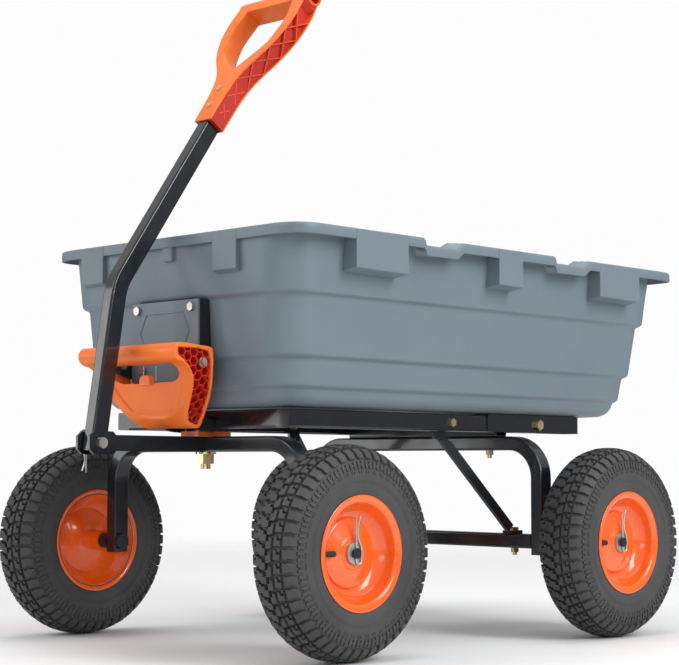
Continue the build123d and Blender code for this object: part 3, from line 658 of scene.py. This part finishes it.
def make_grip():
    """Two flanges round the hand hole and an inner wall between them."""
    build = Builder()
    half_out = even_points(smooth_path(GRIP_SIDE, 6), 40)
    half_in = even_points(GRIP_HOLE, 40)
    outer = [(0.0, 0.0)] + half_out + [(0.0, GRIP_BAR)] + [(-x, s) for x, s in reversed(half_out)]
    inner = [(0.0, 121.0)] + half_in + [(0.0, 270.0)] + [(-x, s) for x, s in reversed(half_in)]
    rows = []
    for (ox, o_s), (ix, i_s) in zip(outer, inner):
        gap = math.dist((ox, o_s), (ix, i_s))
        depth = min(12.0, gap - 3.5) if 8 < o_s < 268 else 0.4
        t = max(depth, 0.4) / gap
        wall = ox + (ix - ox) * t, o_s + (i_s - o_s) * t
        near_out = ox + (ix - ox) * 0.02, o_s + (i_s - o_s) * 0.02
        near_in = ix + (ox - ix) * 0.05, i_s + (o_s - i_s) * 0.05
        section = [(ox, o_s, 16.6), (ox, o_s, 17.4), (*near_out, 17.9), (*near_in, 17.9), (ix, i_s, 17.0),
                   (ix, i_s, -17.0), (*near_in, -17.9), (*near_out, -17.9), (ox, o_s, -17.4),
                   (ox, o_s, -CHANNEL_HALF), (*wall, -CHANNEL_HALF), (*wall, CHANNEL_HALF),
                   (ox, o_s, CHANNEL_HALF)]
        rows.append([grip_at(*p) for p in section])
    build.rings(rows, close_rows=True)
    return build.finish("d_grip_body", 40)


def make_grip_bar():
    build = Builder()
    ends = [(60, 0.2), (60, 11.9), (86.0, 12.3), (88.4, 13.6), (88.4, 15.2), (86.8, 16.4), (82, 16.9)]
    profile = [(-x, r) for x, r in ends] + [(x, r) for x, r in reversed(ends)]
    turns = [2 * math.pi * k / 40 for k in range(40)]
    rows = [[grip_at(x, GRIP_BAR + r * math.cos(a), r * math.sin(a)) for a in turns] for x, r in profile]
    build.rings(rows, cap_ends=True)
    bar = paint(build.finish("d_grip_bar", 40), "orange", "painted_shade_red")
    # Painted shade: the bores inside the bar's hollow ends, with their bottoms, get the dark red shade
    # material.
    for poly in bar.data.polygons:
        x, off_axis = poly.center.x, (poly.center - grip_at(poly.center.x / MM, GRIP_BAR, 0)).length
        if abs(x) < 80 * MM and off_axis < 12.6 * MM or abs(abs(x) - 60 * MM) < 0.5 * MM:
            poly.material_index = 1
    return bar


def make_grip_ribs():
    """Crossed ribs in the open channel of each side."""
    build = Builder()
    side = even_points(smooth_path(GRIP_SIDE, 6), 60)
    reach = 9.0
    middle_depth = reach / 2 + 1.2
    for (x0, s0), (x1, s1) in [(side[i], side[i + 8]) for i in range(2, 50, 8)]:
        lean = Vector((x1 - x0, s1 - s0)).normalized()
        inward = Vector((-lean.y, lean.x))
        for sign in (1, -1):
            for n0, n1 in ((-CHANNEL_HALF, CHANNEL_HALF), (CHANNEL_HALF, -CHANNEL_HALF)):
                a, b = [grip_at(sign * (x + inward.x * middle_depth), s + inward.y * middle_depth, n)
                        for x, s, n in ((x0, s0, n0), (x1, s1, n1))]
                width = (grip_at(sign * inward.x, inward.y, 0) - grip_at(0, 0, 0)).normalized()
                build.bar(a, b, width, reach * MM, 1.9 * MM)
    return build.finish("d_grip_ribs")


grip = paint(make_grip(), "orange", "painted_shade_red")
hole_mid = grip_at(0, 200, 0)
# Painted shade: the outward-facing channel walls between the flanges, outside the hand hole, get the dark
# red shade material.
tag_faces(grip, 1, lambda poly: abs((poly.center - GRIP_FOOT).dot(GRIP_OUT)) < 15.6 * MM
          and poly.normal.dot(poly.center - hole_mid) > -0.004 and not in_hand_hole(poly.center))
# The ribs take the darker orange of painted shade.
for piece in (grip, make_grip_bar(), paint(make_grip_ribs(), "rib_orange_painted_shade")):
    ride_as(piece, "handle", "orange_plastic")
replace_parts(grip, "d_grip")


# ---- latch ---------------------------------------------------------------
# outlines in mm: SIDE lists are (from the front axle line, height), the others are (x, height)
LATCH_HALF = 121 * MM
TAB_Z = 432
LATCH_SIDE = [(-171, 472), (-169, 480), (-163, 485.8), (-154, 487.4), (-138, 486.6), (-118, 484.8),
              (-92, 482), (-88, 470), (-86, 440), (-74, 405), (-63, 372), (-60.5, 358), (-70, 355.8),
              (-86, 359), (-100, 370), (-110, 386), (-117, 404), (-124, 424), (-132, 441), (-141, 451),
              (-150, 456.4), (-159, 458), (-167, 462.8)]
LATCH_FACE = [(121, 489), (121, 455), (118, 438), (110, 421), (97, 402), (82, 384), (68, 369),
              (57, 355)]
LATCH_ROOM_SIDE = [(-50, 500), (-50, 362.5), (-80, 362.5), (-95, 374), (-106, 393), (-114, 414),
                   (-124, 440), (-128, 500)]
LATCH_ROOM_FACE = [(87, 500), (87, 425), (76, 398), (54, 363)]
LATCH_HOLE = [(88, 457), (87, 449), (83, 440), (75, 432.5), (62, 429), (30, 428)]
LATCH_DISH = [(87, 458), (90.5, 449), (89, 438), (84, 420), (71, 400), (56, 384), (38, 376), (18, 373)]
POCKET_FLOOR = [(107, 500), (107, 455), (103, 438), (94, 420), (83, 403), (70, 386), (58, 371),
                (50, 359)]
POCKET_SIDE = [(-162, 479), (-120, 479.5), (-97, 476), (-93, 462), (-90.5, 438), (-80, 408), (-70, 378),
               (-67, 363), (-74, 362), (-90, 367), (-102, 380), (-109, 394), (-116, 414), (-124, 434),
               (-136, 450), (-150, 462), (-161, 467.5)]


def make_latch():
    """Bar, cheeks and dished bowl cut from one solid, then softened."""
    front, back = FRONT - 230 * MM, FRONT - 20 * MM
    body = prism("latch_grip", smooth_closed(LATCH_SIDE, 3), "yz", -LATCH_HALF, LATCH_HALF)
    combine(body, prism("face", both_sides(LATCH_FACE), "xz", front, back), "INTERSECT")
    room = prism("room", LATCH_ROOM_SIDE, "yz", -88 * MM, 88 * MM)
    combine(room, prism("room_face", both_sides(LATCH_ROOM_FACE), "xz", front, back), "INTERSECT")
    combine(body, room, "DIFFERENCE")
    combine(body, prism("hole", both_sides(LATCH_HOLE), "xz", front, FRONT - 60 * MM), "DIFFERENCE")
    face = [(y + 3.2, z) for y, z in LATCH_SIDE if y <= -100 and 360 < z < 470]
    dish_side = [(-230, 466), *sorted(face, key=lambda p: -p[1]), (-230, 360)]
    hollow = prism("hollow", dish_side, "yz", -110 * MM, 110 * MM)
    combine(hollow, prism("dish", both_sides(LATCH_DISH), "xz", front, back), "INTERSECT")
    combine(body, hollow, "DIFFERENCE")
    top = prism("over", [(-143, 458), (-40, 458), (-40, 510), (-143, 510)], "yz", -87 * MM, 87 * MM)
    combine(body, top, "DIFFERENCE")
    for sign in (1, -1):
        pocket = prism("pocket", POCKET_SIDE, "yz", *sorted((sign * 40 * MM, sign * 140 * MM)))
        edge = [(sign * x, z) for x, z in POCKET_FLOOR] + [(sign * 150, 359), (sign * 150, 500)]
        combine(pocket, prism("pocket_face", edge, "xz", front, back), "INTERSECT")
        combine(body, pocket, "DIFFERENCE")
    remesh = body.modifiers.new("even", "REMESH")
    remesh.mode = "VOXEL"
    remesh.voxel_size = 1.5 * MM
    soften = body.modifiers.new("soften", "SMOOTH")
    soften.factor = 0.5
    soften.iterations = 7
    apply_modifiers(body)
    body.data.shade_smooth()
    return body


def hexagon_edges(cell):
    """The edges of a honeycomb over the side pockets, each one once, cut off at the pocket's outline."""
    done = set()
    for i in range(-2, 12):
        for j in range(-2, 14):
            cy = -165 + i * cell * 1.5
            cz = 350 + j * cell * math.sqrt(3) + (cell * math.sqrt(3) / 2 if i % 2 else 0)
            ring = [(cy + cell * math.cos(math.pi / 3 * k), cz + cell * math.sin(math.pi / 3 * k))
                    for k in range(6)]
            for a, b in zip(ring, ring[1:] + ring[:1]):
                key = tuple(sorted((tuple(round(c, 1) for c in a), tuple(round(c, 1) for c in b))))
                if key in done:
                    continue
                done.add(key)
                at = lambda t: (a[0] + (b[0] - a[0]) * t, a[1] + (b[1] - a[1]) * t)
                kept = [k / 12 for k in range(13) if inside(at(k / 12), POCKET_SIDE)]
                if len(kept) > 2:
                    yield at(max(0.0, kept[0] - 0.06)), at(min(1.0, kept[-1] + 0.06))


def make_honeycomb():
    """Thin hexagon walls in both side pockets."""
    build = Builder()
    for a, b in hexagon_edges(8.4):
        across = Vector((0, b[1] - a[1], -(b[0] - a[0]))).normalized() * 0.8 * MM
        for sign in (1, -1):
            points = []
            for y, z in (a, b):
                low = along(POCKET_FLOOR, z) - 2
                high = max(along(LATCH_FACE, z) - 3.2, low + 1)
                for x in (low, high):
                    base = Vector((sign * x * MM, FRONT + y * MM, z * MM))
                    points += [base - across, base + across]
            build.add(points, [(0, 1, 3, 2), (4, 6, 7, 5), (0, 4, 5, 1), (2, 3, 7, 6), (0, 2, 6, 4),
                               (1, 5, 7, 3)])
    return build.finish("latch_honeycomb", 30)


def face_y(z):
    """y of the bowl's front face at height z, in millimetres from the front axle line."""
    lower = [p for p in LATCH_SIDE if p[0] < -95 and 366 < p[1] < 462]
    for (y0, z0), (y1, z1) in zip(lower[:-1], lower[1:]):
        if z0 <= z <= z1 or z1 <= z <= z0:
            return y0 + (y1 - y0) * (z - z0) / (z1 - z0)
    return lower[0][0]


def make_latch_tab():
    build = Builder()
    section = [(-13, 424), (-13, 434), (-10, 438.5), (-5, 440.5), (5, 440.5), (10, 438.5), (13, 434),
               (13, 424)]
    front, back = FRONT + face_y(TAB_Z) * MM - 1.5 * MM, FRONT + face_y(TAB_Z) * MM + 9 * MM
    build.rings([[Vector((x * MM, y, z * MM)) for x, z in section] for y in (front, back)], cap_ends=True)
    return bevel(build.finish("latch_tab", 180), 1.2 * MM)


def in_pocket(poly):
    """True for faces on the floor and walls of the latch's side pockets."""
    x, y, z = abs(poly.center.x) / MM, (poly.center.y - FRONT) / MM, poly.center.z / MM
    return inside((y, z), POCKET_SIDE) and along(POCKET_FLOOR, z) - 2.2 < x < along(LATCH_FACE, z) - 3.0


latch = paint(make_latch(), "orange", "painted_shade_red")
# Painted shade: the floors and walls of the side pockets, and the honeycomb in them, get the dark red shade
# material.
tag_faces(latch, 1, in_pocket)
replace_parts(latch, "latch_handle")
for piece in (latch, paint(make_honeycomb(), "painted_shade_red"), paint(make_latch_tab(), "orange")):
    ride_as(piece, "latch", "orange_plastic")
for sign, end in ((1, "l"), (-1, "r")):
    wire_x, wire_y = sign * 15.5 * MM, FRONT + (face_y(TAB_Z) + 10) * MM
    wire_path = [Vector((wire_x, wire_y, z * MM)) for z in (426, 436, 448, 455)]
    ride_as(make_round_line("latch_wire_" + end, wire_path, 1.0 * MM), "latch", "zinc_hardware", "zinc")

COVER_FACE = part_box("latch_cover")[0].y
COVER_HEX = [(-45, 543), (45, 543), (61, 512), (44, 478), (-44, 478), (-61, 512)]
hex_path = [Vector((x * MM, COVER_FACE, z * MM)) for x, z in COVER_HEX]
ride_as(make_round_line("cover_emboss", hex_path, 1.3 * MM, closed=True), "tub", "tub_poly", "tub")


# ---- camera, light and floor --------------------------------------------
def set_camera():
    """Low three-quarter view from the front left, slightly tilted up."""
    position = Vector((2.1773, -2.2703, 0.2976))
    yaw, pitch, roll = math.radians(44.611), math.radians(4.44), math.radians(0.205)
    forward = Vector((-math.sin(yaw) * math.cos(pitch), math.cos(yaw) * math.cos(pitch), math.sin(pitch)))
    right = Vector((math.cos(yaw), math.sin(yaw), 0))
    up = right.cross(forward)
    right2 = right * math.cos(roll) + up * math.sin(roll)
    up2 = up * math.cos(roll) - right * math.sin(roll)
    turn = Matrix((right2, up2, -forward)).transposed().to_4x4()
    data = bpy.data.cameras.new("camera")
    data.sensor_width = 36.0
    data.lens = 92.74
    data.shift_x = 0.0227
    data.shift_y = -0.0048
    data.clip_end = 100
    camera = bpy.data.objects.new("camera", data)
    bpy.context.scene.collection.objects.link(camera)
    camera.matrix_world = Matrix.Translation(position) @ turn
    bpy.context.scene.camera = camera


def area_light(name, position, target, size, power, colour=(1, 1, 1)):
    data = bpy.data.lights.new(name, "AREA")
    data.shape = "RECTANGLE"
    data.size, data.size_y = size
    data.energy = power
    data.color = colour
    lamp = bpy.data.objects.new(name, data)
    bpy.context.scene.collection.objects.link(lamp)
    lamp.location = position
    lamp.rotation_euler = (Vector(target) - Vector(position)).to_track_quat("-Z", "Y").to_euler()


def set_light():
    """White surround for the eye, a softer sky over a dim ground for the light, and five soft boxes."""
    world = bpy.data.worlds.new("studio")
    world.use_nodes = True
    tree = world.node_tree
    seen = tree.nodes["Background"]
    seen.inputs["Color"].default_value = (1.0, 1.0, 1.0, 1)
    seen.inputs["Strength"].default_value = 0.98
    sky = tree.nodes.new("ShaderNodeBackground")
    sky.inputs["Strength"].default_value = 0.62
    coords = tree.nodes.new("ShaderNodeTexCoord")
    split = tree.nodes.new("ShaderNodeSeparateXYZ")
    ramp = tree.nodes.new("ShaderNodeValToRGB")
    ramp.color_ramp.elements[0].position = 0.42
    ramp.color_ramp.elements[0].color = (0.16, 0.17, 0.19, 1)
    ramp.color_ramp.elements[1].position = 0.75
    ramp.color_ramp.elements[1].color = (1.0, 1.0, 1.0, 1)
    level = tree.nodes.new("ShaderNodeMapRange")
    level.inputs["From Min"].default_value = -1.0
    rays = tree.nodes.new("ShaderNodeLightPath")
    mix = tree.nodes.new("ShaderNodeMixShader")
    tree.links.new(coords.outputs["Generated"], split.inputs["Vector"])
    tree.links.new(split.outputs["Z"], level.inputs["Value"])
    tree.links.new(level.outputs["Result"], ramp.inputs["Fac"])
    tree.links.new(ramp.outputs["Color"], sky.inputs["Color"])
    tree.links.new(rays.outputs["Is Camera Ray"], mix.inputs["Fac"])
    tree.links.new(sky.outputs["Background"], mix.inputs[1])
    tree.links.new(seen.outputs["Background"], mix.inputs[2])
    tree.links.new(mix.outputs["Shader"], tree.nodes["World Output"].inputs["Surface"])
    bpy.context.scene.world = world
    area_light("key", (-1.6, -3.4, 2.6), (0, -0.2, 0.5), (1.6, 1.6), 36)
    area_light("left_wall", (-3.0, -3.0, 1.1), (0, -0.5, 0.5), (0.9, 2.2), 18)
    area_light("side", (3.4, 0.4, 2.3), (0, 0.1, 0.45), (1.4, 2.4), 88)
    area_light("low_front", (2.6, -3.6, 0.9), (0, 0, 0.4), (2.2, 0.8), 16)
    area_light("top", (0, 0.2, 3.4), (0, 0, 0), (2.4, 2.4), 46)


def make_floor():
    """Pale studio floor that fades into the white surround."""
    build = Builder()
    size = 14.0
    build.add([(-size, -size, 0), (size, -size, 0), (size, size, 0), (-size, size, 0)], [(0, 1, 2, 3)])
    floor = build.finish("floor")
    mat = bpy.data.materials.new("pale_floor")
    mat.use_nodes = True
    tree = mat.node_tree
    bsdf = tree.nodes["Principled BSDF"]
    bsdf.inputs["Base Color"].default_value = (0.88, 0.88, 0.88, 1)
    bsdf.inputs["Roughness"].default_value = 0.6
    bsdf.inputs["Specular IOR Level"].default_value = 0.2
    coords = tree.nodes.new("ShaderNodeTexCoord")
    length = tree.nodes.new("ShaderNodeVectorMath")
    length.operation = "LENGTH"
    fade = tree.nodes.new("ShaderNodeMapRange")
    fade.inputs["From Min"].default_value = 1.3
    fade.inputs["From Max"].default_value = 4.0
    clear = tree.nodes.new("ShaderNodeBsdfTransparent")
    mix = tree.nodes.new("ShaderNodeMixShader")
    tree.links.new(coords.outputs["Object"], length.inputs[0])
    tree.links.new(length.outputs["Value"], fade.inputs["Value"])
    tree.links.new(fade.outputs["Result"], mix.inputs["Fac"])
    tree.links.new(bsdf.outputs["BSDF"], mix.inputs[1])
    tree.links.new(clear.outputs["BSDF"], mix.inputs[2])
    tree.links.new(mix.outputs["Shader"], tree.nodes["Material Output"].inputs["Surface"])
    floor.data.materials.append(mat)


set_camera()
set_light()
make_floor()
bpy.context.scene.view_settings.view_transform = "Standard"
bpy.context.scene.view_settings.look = "None"
